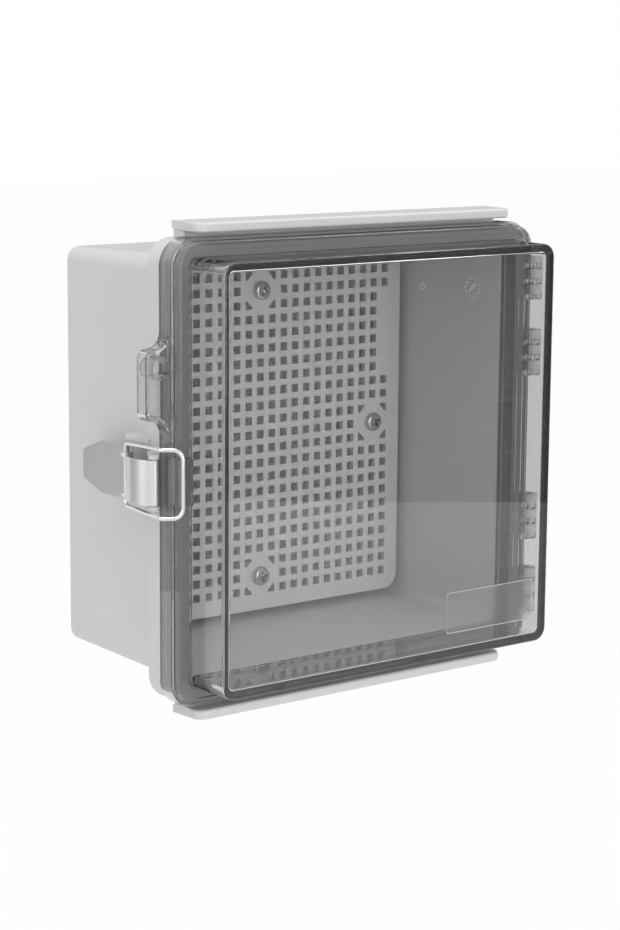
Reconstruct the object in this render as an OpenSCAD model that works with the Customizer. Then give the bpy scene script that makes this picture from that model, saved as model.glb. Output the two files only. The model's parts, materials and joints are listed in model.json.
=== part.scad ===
// Wall-mounted junction box with a hinged see-through door, drip lips,
// a draw latch and a perforated mounting panel.
// The row frame has +X right, +Z up and the door facing -Y, with its origin
// at the middle of the back face. Each part is drawn in front view
// (x right, y up, z towards the viewer) and stood up once at the end.

/* [Door] */
// Width of the door across its rim
door_w = 208; // [180:1:260]
// Height of the door across its rim
door_h = 208; // [200:1:260]
// Depth of the door's rim, from the seam to the flange
flange_t = 14; // [12.5:0.5:18]
// Width of the flange between the rim's edge and the window's wall
flange_w = 8.4; // [8:0.1:11]
// How far the window stands out of the flange
window_rise = 23; // [12:0.5:40]
// Thickness of the window's front and walls
door_wall = 3.6; // [2:0.1:4]
// Corner radius inside the window
window_inner_corner = 0.6; // [0.4:0.1:4]
// Rounding of the window's front edges
window_edge = 1.2; // [0.6:0.1:2.8]
// Narrowing of the window from flange to front, on each side
window_draft = 0.3; // [0.1:0.1:0.5]
// Height of the lower step of the rim
ledge_h = 9.3; // [7:0.1:11]
// Width of the step between the two tiers of the rim
ledge_w = 1.6; // [0.8:0.1:2]
// Depth of the sunk margin round the window
margin_sink = 1; // [0.4:0.1:1.5]
// Width of the sunk margin round the window
margin_w = 3.2; // [2:0.1:4.5]
// Width of the gasket groove
groove_w = 5.4; // [4.8:0.1:6]
// Wall between the gasket groove and the rim's edge
groove_wall = 3; // [2.2:0.1:3]
// Thickness of the flange over the groove
groove_roof = 4; // [3.4:0.1:5]
// Gap at the seam between door and body
seam_gap = 0.4; // [0.2:0.05:0.8]

/* [Body] */
// Depth of the body, from its back to the seam
body_depth = 91.5; // [80:0.5:160]
// Thickness of the body's walls
wall = 3; // [2:0.1:4]
// Thickness of the body's back
back_t = 3; // [2:0.1:5]
// Narrowing of the body towards the back, on each side
draft = 2; // [0.5:0.1:4]
// Corner radius inside the body at the back
body_inner_corner = 3.5; // [2:0.1:8]
// Bevel round the back face
back_edge = 1.5; // [0.5:0.1:2.5]
// How far the rim lies inside the door's edge
rim_inset = 1; // [0.5:0.1:2]
// How far the rim stands out of the wall
rim_reach = 7.5; // [6:0.1:10]
// Depth of the rim's skirt
rim_depth = 10; // [8:0.5:14]
// Thickness of the rim
rim_t = 3; // [2:0.1:3.5]
// Width of the tongue that meets the gasket
tongue_w = 2.2; // [1.6:0.1:2.6]
// Height of the tongue over the seam
tongue_h = 3; // [2:0.1:3.4]

/* [Gasket] */
// Play between the gasket and the sides of its groove
gasket_play = 0.2; // [0.1:0.05:0.4]
// Gap between the gasket and the tongue
gasket_gap = 0.3; // [0.2:0.05:0.6]

/* [Drip lips] */
// Length of each lip
lip_w = 182; // [150:1:190]
// Thickness of each lip
lip_t = 3.4; // [3:0.1:6]
// Reach of each lip in front of the seam
lip_fwd = 11.5; // [8:0.5:16]
// Reach of each lip behind the seam
lip_back = 8.7; // [6:0.1:10]
// Gap between a lip and the door
lip_gap = 3; // [1:0.1:4]
// Corner radius of a lip's front ends
lip_corner = 5; // [3:0.5:10]
// How far the lip's web stops short of each end
lip_web_inset = 1; // [0.5:0.5:8]

/* [Mounting panel] */
// Pitch of the square holes
hole_pitch = 7; // [6:0.1:10]
// Side of each square hole
hole_side = 4; // [2.5:0.1:4.5]
// Thickness of the panel
panel_t = 3; // [2:0.1:4]
// Gap between the panel and the body's walls
panel_gap = 4; // [2:0.1:8]
// Solid border outside the outer holes
panel_border = 6.5; // [5:0.1:12]
// Corner radius of the panel
panel_corner = 8; // [4:0.5:12]
// Diameter of the solid pad round each screw
pad_d = 15; // [12:0.5:18]
// First and last row of the bare strip in the column beside the hinge, from the top
bare_first = 3; // [3:1:5]
// Last row of that strip
bare_last = 8; // [6:1:9]
// Height of the standoffs on the back
standoff_h = 18.2; // [10:0.1:40]
// Diameter of the standoffs
standoff_d = 10; // [8:0.5:12]

/* [Panel screws] */
// Diameter of the screw's shank
screw_d = 4; // [3:0.1:5]
// Length of the shank under the head
screw_l = 14; // [10:0.5:20]
// Diameter of the head
screw_head_d = 9.4; // [8:0.1:11]
// Height of the head
screw_head_h = 2.8; // [2:0.1:4]
// Play between the shank and its holes
screw_play = 0.05; // [0.02:0.01:0.15]
// Width of the slots of the cross recess
recess_w = 1.2; // [0.8:0.1:1.6]

/* [Wall holes] */
// Distance between the wall-mounting holes
wall_hole_span = 150; // [120:1:156]
// Diameter of the wall-mounting holes
wall_hole_d = 5.2; // [4:0.1:6.5]
// Diameter of the boss round each wall-mounting hole
wall_boss_d = 13; // [11:0.5:16]
// Height of that boss over the inside of the back
wall_boss_h = 2; // [1:0.1:6]

/* [Hinge] */
// Distance of the hinge axis outside the door's edge
hinge_out = 6; // [5.6:0.1:8]
// Distance of the hinge axis in front of the seam
hinge_fwd = 7; // [6:0.1:9]
// Diameter of the knuckles
knuckle_d = 8.8; // [7.5:0.1:9.6]
// Diameter of the hinge pins
hinge_pin_d = 3; // [2:0.1:4]
// Running clearance of the pins in the door's knuckles
hinge_play = 0.06; // [0.02:0.01:0.1]
// Thickness of the body's knuckles
body_leaf = 4.4; // [3:0.1:6]
// Thickness of the door's knuckles
door_leaf = 2.4; // [2:0.1:4]
// Gap between neighbouring knuckles
leaf_gap = 0.3; // [0.2:0.05:0.6]
// Knuckle pairs in a group
leaf_pairs = 3; // [2:1:4]
// Distance from the door's ends to the middle of the outer knuckle groups
hinge_end = 26.7; // [22:0.1:32]
// Distance between the two knuckle groups of an end
hinge_step = 36.9; // [32:0.1:42]

/* [Padlock ears] */
// Height of the ears' middle over the middle of the box
ear_y = 41; // [38:1:60]
// Height of the ears at their tip
ear_tip_h = 31; // [26:1:34]
// How far the ears stand out of the door's edge
ear_reach = 11.6; // [11.6:0.1:14]
// Thickness of the walls of the door's ear, which is open at the back
ear_wall = 2; // [1.6:0.1:2.4]
// Width of the ring round the padlock hole
ear_ring = 1.2; // [1:0.1:1.4]
// Thickness of the door's ear
ear_t = 7.6; // [4:0.1:9]
// Thickness of the body's ear behind it
ear_back_t = 4; // [3:0.1:6]
// Diameter of the padlock hole
ear_hole_d = 8; // [5:0.1:8.5]
// Distance of the padlock hole outside the door's edge
ear_hole_out = 3.6; // [3.5:0.1:5]
// Height of the padlock hole over the ears' middle
ear_hole_rise = 7.3; // [0:0.1:7.4]
// Rounding of the ears' tips
ear_corner = 4; // [3:0.1:5]
// Sweep of the curve from the ears' sides into the rim
ear_fillet = 7.5; // [4:0.1:8]

/* [Latch] */
// Height of the latch's middle over the middle of the box
latch_y = -2.3; // [-10:0.1:0]
// Distance of the lever's pivot outside the door's edge
pivot_out = 3.6; // [3.5:0.1:5]
// Distance of the lever's pivot in front of the seam
pivot_fwd = 1.3; // [0.5:0.1:2]
// Gap between the lever's rolled end and the door's edge
barrel_gap = 0.5; // [0.4:0.1:0.8]
// Diameter of the lugs on the body that hold the pivot pin
pivot_lug_d = 4.8; // [4:0.1:5.4]
// Thickness of those lugs
pivot_lug_t = 2.1; // [1.8:0.1:2.2]
// Gap between the lugs and the lever
pivot_lug_gap = 0.3; // [0.25:0.05:0.4]
// Diameter of the pivot pin
latch_pin_d = 2.4; // [1.8:0.1:2.6]
// Running clearance of the latch's pivots
latch_play = 0.06; // [0.02:0.01:0.1]
// Thickness of the lever's sheet
sheet_t = 1.2; // [0.8:0.1:1.3]
// Height of the lever's bowed part
bow_h = 20.2; // [16:0.1:20.6]
// Where the bow leaves the rolled end, in degrees ahead of square
bow_start = 40; // [35:1:45]
// Distance from the lever's pivot back to the bail's pivot
bail_back = 24.3; // [22:0.1:28]
// How far the bail's pivot lies inside the lever's pivot
bail_in = 1.4; // [1.2:0.1:2]
// Height of the finger tab
tab_h = 24; // [20:0.1:24.4]
// Height of the finger tab's middle over the latch's middle
tab_rise = 0.6; // [0:0.1:0.6]
// Length of the finger tab
tab_l = 35; // [20:0.5:40]
// Height of the finger tab at its end
tab_end_h = 13.2; // [8:0.1:17]
// Length of the taper at the tab's end
tab_taper = 14; // [6:0.5:18]
// How far the tab leans outwards over its length
tab_lean = 2.4; // [0:0.1:5]
// Diameter of the bail's wire
wire_d = 2; // [1.4:0.1:2.2]
// Height of the bail at its pivot, across the middle of its wire
bail_h = 28.2; // [28:0.1:32]
// How much further each of the bail's arms stands out at the front
bail_flare = 0.9; // [0.5:0.1:1.5]
// How much higher the bail's front bar and its catch sit than the lever
bail_rise = 1.8; // [0:0.1:2]
// Bend radius of the bail's rear corners and elbows
bail_bend = 3; // [2.2:0.1:5]
// Bend radius of the bail's front corners
bail_front_bend = 4.5; // [3:0.1:5]
// Clearance of the bail's bar from the door's edge
bail_clear = 0.4; // [0.3:0.05:1]
// How far the bail's arms bow outwards
bail_bow = 7.8; // [7:0.1:9]
// Thickness of the lever's lugs that hold the bail
bail_lug_t = 2; // [1.4:0.1:3]
// Height of the catch on the door's flange
catch_h = 5.2; // [2:0.1:6]
// Length of the catch along the door's edge
catch_l = 21; // [14:0.5:22]
// Depth of the catch across the flange
catch_w = 5.2; // [3:0.1:5.4]

/* [Latch guard] */
// Thickness of the guard rib over the latch
guard_t = 2.2; // [1.6:0.1:2.4]
// Gap between the guard rib and the bail
guard_gap = 0.35; // [0.3:0.05:0.6]
// How far the guard rib stands out of the rim's edge
guard_out = 1.5; // [0.5:0.1:2]
// Depth of the guard rib, back from the seam
guard_l = 28; // [20:0.5:40]
// Rounding of the guard rib's outer corner
guard_corner = 4; // [2:0.1:6]

/* [Hidden] */
$fn = 64;
eps = 0.01;
half = [door_w, door_h] / 2;
seam = body_depth;
flange_z = seam + flange_t;
window_z = flange_z + window_rise;

// Corner centres and corner offsets of the door's sweep
window_u = window_inner_corner + door_wall;
door_u = window_u + flange_w;
door_centre = half - [door_u, door_u];
groove_out = door_u - groove_wall;
groove_in = groove_out - groove_w;
groove_z = flange_z - groove_roof;

// The body's rim is concentric with the door's corners
rim_u = door_u - rim_inset;
rim_half = half - [rim_inset, rim_inset];
tongue_bias = 0.4;
tongue_u = (groove_in + groove_out) / 2 - tongue_w / 2 - tongue_bias;
wall_half = rim_half - [rim_reach, rim_reach];
back_u = body_inner_corner + wall;
body_centre = wall_half - [back_u + draft, back_u + draft];
skirt_u = rim_half.x - rim_t - body_centre.x;

// Mounting panel, its hole pattern and its screws
panel_z = back_t + standoff_h;
inner_half = wall_half - [wall + draft, wall + draft] + [1, 1] * draft * panel_z / body_depth;
panel_half = inner_half - [panel_gap, panel_gap];
hole_reach = [for (i = [0, 1]) floor((panel_half[i] - panel_border - hole_side / 2) / hole_pitch)];
screw_reach = [for (i = [0, 1]) (hole_reach[i] - 1) * hole_pitch];
head_z = panel_z + panel_t;
screw_hole_d = screw_d + 2 * screw_play;

// Hinge axis and knuckle groups
hinge_x = half.x + hinge_out;
hinge_z = seam + hinge_fwd;
leaf_pitch = body_leaf + door_leaf + 2 * leaf_gap;
group_h = leaf_pairs * leaf_pitch - leaf_gap;
hinge_far = half.y - hinge_end;
hinge_near = hinge_far - hinge_step;
hinge_groups = [hinge_far, hinge_near, -hinge_near, -hinge_far];

// Latch, in its own plane: first value outwards, second value backwards
pivot = [half.x + pivot_out, seam + pivot_fwd];
bail_pivot = [-bail_in, bail_back];
hook_z = flange_z + catch_h + bail_clear + wire_d / 2;
hook = [half.x + bail_clear + wire_d / 2 - pivot.x, pivot.y - hook_z];
elbow_fwd = 0.9;
elbow = [hook.x + bail_bow, pivot.y - flange_z - elbow_fwd];
barrel_r = pivot_out - barrel_gap;
crease = bail_pivot - [wire_d / 2 + 0.6, 1.3];

// The bow's circle leaves the rolled end at bow_start and runs to the crease
bow_dir = [cos(bow_start), -sin(bow_start)];
bow_lap = barrel_r - 0.15;
bow_drop = crease * bow_dir;
bow_r = (crease * crease + bow_lap * bow_lap - 2 * bow_lap * bow_drop) / (2 * bow_lap - 2 * bow_drop);
bow_centre = (bow_lap - bow_r) * bow_dir;
pin_l = bow_h + 2 * (pivot_lug_gap + pivot_lug_t);

function unit(v) = v / norm(v);

// Points of an arc round a centre, from one angle to another
function arc(centre, r, from, to, steps = 6) = [
    for (i = [0:steps])
        let (angle = from + (to - from) * i / steps)
        centre + r * [cos(angle), sin(angle)]
];

// Stand a front-view drawing up in the row frame
module upright() {
    rotate([90, 0, 0]) children();
}

// Extrude a plan outline (x across, y towards the front) over a height
module bar(h) {
    rotate([90, 0, 0]) linear_extrude(height = h, center = true) children();
}

// Sweep a wall profile round a rectangle whose corner centres lie at reach
module frame_sweep(reach) {
    for (turn = [0, 180])
        rotate(turn) translate([reach.x, 0, 0]) bar(2 * reach.y) children();
    for (turn = [90, 270])
        rotate(turn) translate([reach.y, 0, 0]) bar(2 * reach.x) children();
    for (corner = [[1, 1, 0], [-1, 1, 90], [-1, -1, 180], [1, -1, 270]])
        translate([corner.x * reach.x, corner.y * reach.y, 0])
            rotate(corner.z) rotate_extrude(angle = 90) children();
}

// A plate with square sides at the corner centres of a sweep
module infill(reach, z, t) {
    translate([-reach.x, -reach.y, z]) cube([2 * reach.x, 2 * reach.y, t]);
}

// Rectangle with round corners
module round_rect(size, r) {
    square([size.x, size.y - 2 * r], center = true);
    square([size.x - 2 * r, size.y], center = true);
    for (x = [-1, 1], y = [-1, 1])
        translate([x * (size.x / 2 - r), y * (size.y / 2 - r)]) circle(r);
}

// Cross-section of the tray's wall, with its floor and its flange under the rim
module wall_profile() {
    polygon([
        [0, 0], [back_u - back_edge, 0], [back_u, back_edge], [back_u + draft, seam - rim_t],
        [skirt_u, seam - rim_t], [skirt_u, seam], [back_u + draft - wall, seam],
        [back_u - wall + draft * back_t / seam, back_t], [0, back_t]
    ]);
}

// Cross-section of the rim: a plate with a skirt and the sealing tongue
module rim_profile() {
    polygon([
        [tongue_u - 1, seam - rim_t], [tongue_u - 1, seam], [tongue_u, seam], [tongue_u, seam + tongue_h],
        [tongue_u + tongue_w, seam + tongue_h], [tongue_u + tongue_w, seam], [rim_u, seam],
        [rim_u, seam - rim_depth], [rim_u - rim_t, seam - rim_depth], [rim_u - rim_t, seam - rim_t]
    ]);
}

// Plan of a drip lip, with round front corners
module lip_plan() {
    front = seam + lip_fwd;
    straight = lip_w - 2 * lip_corner;
    translate([-lip_w / 2, seam - lip_back]) square([lip_w, lip_back + lip_fwd - lip_corner]);
    translate([-straight / 2, front - lip_corner - eps]) square([straight, lip_corner + eps]);
    for (x = [-1, 1])
        translate([x * (lip_w / 2 - lip_corner), front - lip_corner]) circle(lip_corner);
}

// Drip lip over the door's top edge, on a web that rises from the rim
module drip_lip() {
    low = half.y + lip_gap;
    web_w = lip_w - 2 * lip_web_inset;
    translate([0, low + lip_t / 2, 0]) bar(lip_t) lip_plan();
    translate([-web_w / 2, rim_half.y - rim_t / 2, seam - lip_back])
        cube([web_w, low - rim_half.y + rim_t / 2 + eps, lip_back - seam_gap]);
}

// Plan of a body knuckle with the arm that carries it clear of the door's edge
module body_leaf_plan() {
    root = rim_half.x - rim_t / 2;
    inner = half.x + 0.7;
    r = knuckle_d / 2;
    translate([hinge_x, hinge_z]) circle(r);
    polygon([
        [root, seam - rim_depth], [root, seam - seam_gap / 2], [inner, seam - seam_gap / 2],
        [inner, seam + 1], [hinge_x - r + 0.4, hinge_z], [hinge_x + r - 0.1, hinge_z],
        [hinge_x + r - 1, seam], [hinge_x - 1, seam - rim_depth]
    ]);
}

// Plan of a door knuckle, joined to the side of the rim
module door_leaf_plan() {
    translate([hinge_x, hinge_z]) circle(d = knuckle_d);
    translate([half.x - groove_wall / 2, hinge_z - knuckle_d / 2 + 0.4])
        square([hinge_out + groove_wall / 2, knuckle_d - 0.8 - ledge_room()]);
}

// How far the upper side of a door knuckle's arm stays under the rim's step
function ledge_room() = max(0, hinge_fwd + knuckle_d / 2 - 0.4 - ledge_h);

// One knuckle group's leaves: start is the first leaf's top, t its thickness
module leaves(group, start, t) {
    for (i = [0:leaf_pairs - 1])
        translate([0, group + group_h / 2 - start - t / 2 - i * leaf_pitch, 0]) bar(t) children();
}

// Round hole or shaft along the hinge axis
module hinge_rod(group, d, l) {
    translate([hinge_x, group, hinge_z]) rotate([90, 0, 0]) cylinder(d = d, h = l, center = true);
}

// Outline of a padlock ear in front view: round tip, curves into the rim.
// A smaller ear lies inside the outline by the inset
module ear_outline(inset) {
    edge = -half.x;
    root = edge + groove_wall / 2 + inset / 4;
    tip = edge - ear_reach + ear_corner;
    top = ear_y + ear_tip_h / 2;
    low = ear_y - ear_tip_h / 2;
    tip_r = ear_corner - inset;
    side_r = ear_fillet + inset;
    turn = acos(ear_fillet / side_r);
    foot = ear_fillet - side_r * sin(turn);
    polygon(concat(
        [[root, low - foot], [root, top + foot]],
        arc([edge - ear_fillet, top + ear_fillet], side_r, 360 - turn, 270),
        arc([tip, top - ear_corner], tip_r, 90, 180),
        arc([tip, low + ear_corner], tip_r, 180, 270),
        arc([edge - ear_fillet, low - ear_fillet], side_r, 90, turn)
    ));
}

// Padlock ear from one depth to another
module ear(from, to, inset = 0) {
    translate([0, 0, from]) linear_extrude(height = to - from) ear_outline(inset);
}

// Round bar along the axis of the padlock hole, from one depth to another
module ear_bar(d, from, to) {
    translate([-half.x - ear_hole_out, ear_y + ear_hole_rise, from]) cylinder(d = d, h = to - from);
}

// Where the padlock's shackle goes through both ears
module ear_hole() {
    ear_bar(ear_hole_d, seam - 2 * ear_back_t, seam + 2 * ear_t);
}

// The door's ear: a shell open at the back, with a ring round the padlock hole
module door_ear() {
    back = seam + seam_gap;
    front = seam + ear_t;
    difference() {
        ear(back, front);
        ear(back - 1, front - ear_wall, ear_wall);
    }
    ear_bar(ear_hole_d + 2 * ear_ring, back, front - ear_wall / 2);
}

// Place a drawing from the latch's own plane, at the lever's pivot
module latch_place() {
    translate([-pivot.x, latch_y, pivot.y]) rotate([0, 180, 0]) children();
}

// Two lugs on the rim that hold the lever's pin
module pivot_lugs() {
    root = -pivot_out - rim_inset - rim_t / 2;
    back = rim_depth + pivot_fwd;
    front = pivot_fwd + seam_gap / 2;
    near = 0.2 - pivot_lug_d / 2;
    latch_place() for (side = [-1, 1])
        translate([0, side * (bow_h / 2 + pivot_lug_gap + pivot_lug_t / 2), 0]) bar(pivot_lug_t) {
            circle(d = pivot_lug_d);
            polygon([
                [root, front], [root, back], [root + 2, back], [-near - 0.2, 1],
                [0, 0], [near, 0], [near, front]
            ]);
        }
}

// Rib on the side wall that keeps knocks off the latch
module latch_guard() {
    low = latch_y + bail_h / 2 + wire_d / 2 + guard_gap;
    out = rim_half.x + guard_out;
    deep = wall_half.x - draft - wall / 2;
    front = seam - rim_depth + 2;
    back = seam - guard_l;
    translate([0, low + guard_t / 2, 0]) bar(guard_t) {
        translate([-out + guard_corner, back]) square([out - guard_corner - deep, front - back]);
        translate([-out, back + guard_corner]) square([guard_corner + eps, front - back - guard_corner]);
        translate([-out + guard_corner, back + guard_corner]) circle(guard_corner);
    }
}

// Places of the panel's four screws, at the middles of its sides
screw_places = [[0, screw_reach.y], [screw_reach.x, 0], [0, -screw_reach.y], [-screw_reach.x, 0]];

module standoffs() {
    for (p = screw_places)
        translate([p.x, p.y, back_t - eps]) cylinder(d = standoff_d, h = standoff_h + eps);
}

module wall_places() {
    for (x = [-1, 1], y = [-1, 1])
        translate([x * wall_hole_span / 2, y * wall_hole_span / 2, 0]) children();
}

module enclosure_body() {
    color("#d4d5d6") upright() difference() {
        union() {
            frame_sweep(body_centre) wall_profile();
            infill(body_centre, 0, back_t);
            frame_sweep(door_centre) rim_profile();
            for (side = [0, 1]) mirror([0, side, 0]) drip_lip();
            for (group = hinge_groups) leaves(group, 0, body_leaf) body_leaf_plan();
            ear(seam - ear_back_t, seam - seam_gap / 2, ear_wall);
            pivot_lugs();
            latch_guard();
            standoffs();
            wall_places() cylinder(d = wall_boss_d, h = back_t + wall_boss_h);
        }
        for (group = hinge_groups) hinge_rod(group, hinge_pin_d, group_h + 1);
        ear_hole();
        latch_place() rotate([90, 0, 0]) cylinder(d = latch_pin_d, h = pin_l + 1, center = true);
        for (p = screw_places)
            translate([p.x, p.y, head_z - screw_l - 1]) cylinder(d = screw_hole_d, h = screw_l + 1);
        wall_places() translate([0, 0, -1]) cylinder(d = wall_hole_d, h = back_t + wall_boss_h + 2);
    }
}

// Is a hole of the pattern left out, in the bare strip beside the hinge?
function bare(i, j) =
    let (row = hole_reach.y + 1 - j)
    i == hole_reach.x && row >= bare_first && row <= bare_last;

module mounting_panel() {
    color("#a9abac") upright() translate([0, 0, panel_z]) difference() {
        union() {
            linear_extrude(height = panel_t) difference() {
                round_rect(2 * panel_half, panel_corner);
                for (i = [-hole_reach.x:hole_reach.x], j = [-hole_reach.y:hole_reach.y])
                    if (!bare(i, j)) translate([i, j] * hole_pitch) square(hole_side, center = true);
            }
            for (p = screw_places) translate(p) cylinder(d = pad_d, h = panel_t);
        }
        for (p = screw_places) translate([p.x, p.y, -1]) cylinder(d = screw_hole_d, h = panel_t + 2);
    }
}

// Pan-head screw with a cross recess, head up, its seat at the origin
module pan_screw() {
    edge = screw_head_h / 2;
    difference() {
        union() {
            translate([0, 0, -screw_l]) cylinder(d = screw_d, h = screw_l + eps);
            rotate_extrude() polygon(concat(
                [[0, 0], [screw_head_d / 2, 0], [screw_head_d / 2, edge]],
                arc([screw_head_d / 2 - edge, edge], edge, 15, 90, 4),
                [[0, screw_head_h]]
            ));
        }
        for (turn = [0, 90])
            rotate(turn) translate([0, 0, screw_head_h])
                cube([screw_head_d * 0.55, recess_w, screw_head_h * 1.1], center = true);
    }
}

module panel_screw(i) {
    place = screw_places[i];
    color("#b9bbbd") upright() translate([place.x, place.y, head_z]) rotate(20 + 35 * i) pan_screw();
}

// Cross-section of the door: stepped rim, gasket groove, window wall and front
module door_profile() {
    edge = 0.8;
    foot = seam + seam_gap;
    lip_z = foot + 1.6;
    ledge_u = door_u - ledge_w;
    ledge_z = seam + ledge_h;
    margin_u = window_u + margin_w;
    front_u = window_u - window_draft;
    inner_u = window_u - door_wall;
    polygon(concat(
        [[door_u, foot], [door_u, ledge_z - 0.5], [door_u - 0.5, ledge_z], [ledge_u, ledge_z]],
        [[ledge_u, flange_z - edge], [ledge_u - edge, flange_z], [margin_u, flange_z]],
        [[margin_u, flange_z - margin_sink], [window_u, flange_z - margin_sink]],
        arc([front_u - window_edge, window_z - window_edge], window_edge, 0, 90),
        [[0, window_z], [0, window_z - door_wall], [inner_u - window_draft, window_z - door_wall]],
        [[inner_u, lip_z], [groove_in, lip_z], [groove_in, groove_z]],
        [[groove_out, groove_z], [groove_out, foot]]
    ));
}

// Catch on the flange that the bail hooks over
module door_catch() {
    out = half.x;
    edge = 0.8;
    top = flange_z + catch_h;
    side_z = flange_z - ledge_h / 2;
    sunk_z = flange_z - groove_roof / 2;
    translate([0, latch_y + bail_rise, 0]) bar(catch_l) polygon([
        [-out, side_z], [-out, top - edge], [edge - out, top], [catch_w - edge - out, top],
        [catch_w - out, top - edge], [catch_w - out, sunk_z],
        [groove_wall - out, sunk_z], [groove_wall - out, side_z]
    ]);
}

module door() {
    color("#8f9496", 0.45) upright() difference() {
        union() {
            frame_sweep(door_centre) door_profile();
            infill(door_centre, window_z - door_wall, door_wall);
            for (group = hinge_groups) leaves(group, body_leaf + leaf_gap, door_leaf) door_leaf_plan();
            door_ear();
            door_catch();
        }
        for (group = hinge_groups) hinge_rod(group, hinge_pin_d + 2 * hinge_play, group_h + 1);
        ear_hole();
    }
}

module door_gasket() {
    low = seam + tongue_h + gasket_gap;
    color("#3a3b3c") upright() frame_sweep(door_centre)
        translate([groove_in + gasket_play, low]) square([groove_w - 2 * gasket_play, groove_z - low]);
}

module hinge_pin(i) {
    color("#c3c5c7") upright() hinge_rod(hinge_groups[i], hinge_pin_d, group_h);
}

module latch_pin() {
    color("#c9cbcd") upright() latch_place() rotate([90, 0, 0])
        cylinder(d = latch_pin_d, h = pin_l, center = true);
}

// Plan of the lever's bowed part, from the rolled end to the crease
module bow_plan() {
    ahead = 2 * barrel_r * bow_dir;
    beyond = 2 * bow_r;
    intersection() {
        translate(bow_centre) difference() {
            circle(bow_r);
            circle(bow_r - sheet_t);
        }
        polygon([[0, 0], ahead, [beyond, ahead.y], [beyond, crease.y], [crease.x - 2 * sheet_t, crease.y]]);
    }
}

// Plan of the flat finger tab behind the crease
module tab_plan() {
    near = crease - [0, 0.9];
    far = crease + [tab_lean, tab_l];
    across = [sheet_t, 0];
    polygon([near - across, far - across, far, near + across / 6]);
}

// Side view of the tab: full height, then tapered to its end
module tab_side() {
    near = crease.y - 2;
    far = crease.y + tab_l + eps;
    h = tab_h / 2;
    end_h = tab_end_h / 2;
    translate([tab_rise, 0]) polygon([
        [h, near], [h, far - tab_taper], [end_h, far],
        [-end_h, far], [-h, far - tab_taper], [-h, near]
    ]);
}

// Pressed lever: rolled end, bow, finger tab and the lugs that hold the bail
module latch_lever() {
    lug_d = wire_d + 2.8;
    color("#c4c6c8") upright() latch_place() difference() {
        union() {
            bar(bow_h) {
                circle(barrel_r);
                bow_plan();
            }
            intersection() {
                bar(2 * tab_h) tab_plan();
                rotate([90, 0, 90]) linear_extrude(height = 2 * tab_l, center = true) tab_side();
            }
            for (side = [-1, 1])
                translate([bail_pivot.x, side * (bow_h - bail_lug_t) / 2, bail_pivot.y])
                    rotate([90, 0, 0]) cylinder(d = lug_d, h = bail_lug_t, center = true);
        }
        rotate([90, 0, 0]) cylinder(d = latch_pin_d + 2 * latch_play, h = bow_h + 2, center = true);
        translate([bail_pivot.x, 0, bail_pivot.y]) rotate([90, 0, 0])
            cylinder(d = wire_d + 2 * latch_play, h = tab_h + 2, center = true);
    }
}

// Wire bent round the corners of a closed line. The bends are a hair thicker
// than the straight runs, which reach a little way into them
module wire_loop(points, bends, d) {
    swell = 0.04;
    lap = 0.3;
    n = len(points);
    dirs = [for (i = [0:n - 1]) unit(points[(i + 1) % n] - points[i])];
    turns = [for (i = [0:n - 1]) acos(dirs[(i + n - 1) % n] * dirs[i])];
    cuts = [for (i = [0:n - 1]) bends[i] * tan(turns[i] / 2)];
    for (i = [0:n - 1]) {
        before = dirs[(i + n - 1) % n];
        start = points[i] - before * cuts[i];
        inward = unit(dirs[i] - before * (before * dirs[i]));
        run = norm(points[(i + 1) % n] - points[i]) - cuts[i] - cuts[(i + 1) % n];
        basis_at(start + inward * bends[i], -inward, before)
            rotate_extrude(angle = turns[i]) translate([bends[i], 0]) circle(d = d + swell);
        side = unit(cross(before, dirs[i]));
        basis_at(points[i] + dirs[i] * (cuts[i] - lap), cross(side, dirs[i]), side)
            cylinder(d = d, h = run + 2 * lap);
    }
}

// Move a drawing to a place, with its x and y axes along two directions
module basis_at(place, x_dir, y_dir) {
    z_dir = cross(x_dir, y_dir);
    multmatrix([
        [x_dir.x, y_dir.x, z_dir.x, place.x],
        [x_dir.y, y_dir.y, z_dir.y, place.y],
        [x_dir.z, y_dir.z, z_dir.z, place.z],
        [0, 0, 0, 1]
    ]) children();
}

module latch_bail() {
    h = bail_h / 2;
    high = bail_rise + h + bail_flare;
    low = bail_rise - h - bail_flare;
    route = [
        [bail_pivot.x, -h, bail_pivot.y], [bail_pivot.x, h, bail_pivot.y], [elbow.x, high, elbow.y],
        [hook.x, high, hook.y], [hook.x, low, hook.y], [elbow.x, low, elbow.y]
    ];
    bends = [bail_bend, bail_bend, bail_bend, bail_front_bend, bail_front_bend, bail_bend];
    color("#dcdedf") upright() latch_place() wire_loop(route, bends, wire_d);
}

enclosure_body();
mounting_panel();
panel_screw(0);  // panel_screw_top
panel_screw(1);  // panel_screw_right
panel_screw(2);  // panel_screw_bottom
panel_screw(3);  // panel_screw_left
door();
door_gasket();
hinge_pin(0);  // hinge_pin_1
hinge_pin(1);  // hinge_pin_2
hinge_pin(2);  // hinge_pin_3
hinge_pin(3);  // hinge_pin_4
latch_pin();
latch_lever();
latch_bail();
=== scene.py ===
import json
import math
import bmesh
import bpy
from mathutils import Matrix, Vector


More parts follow.
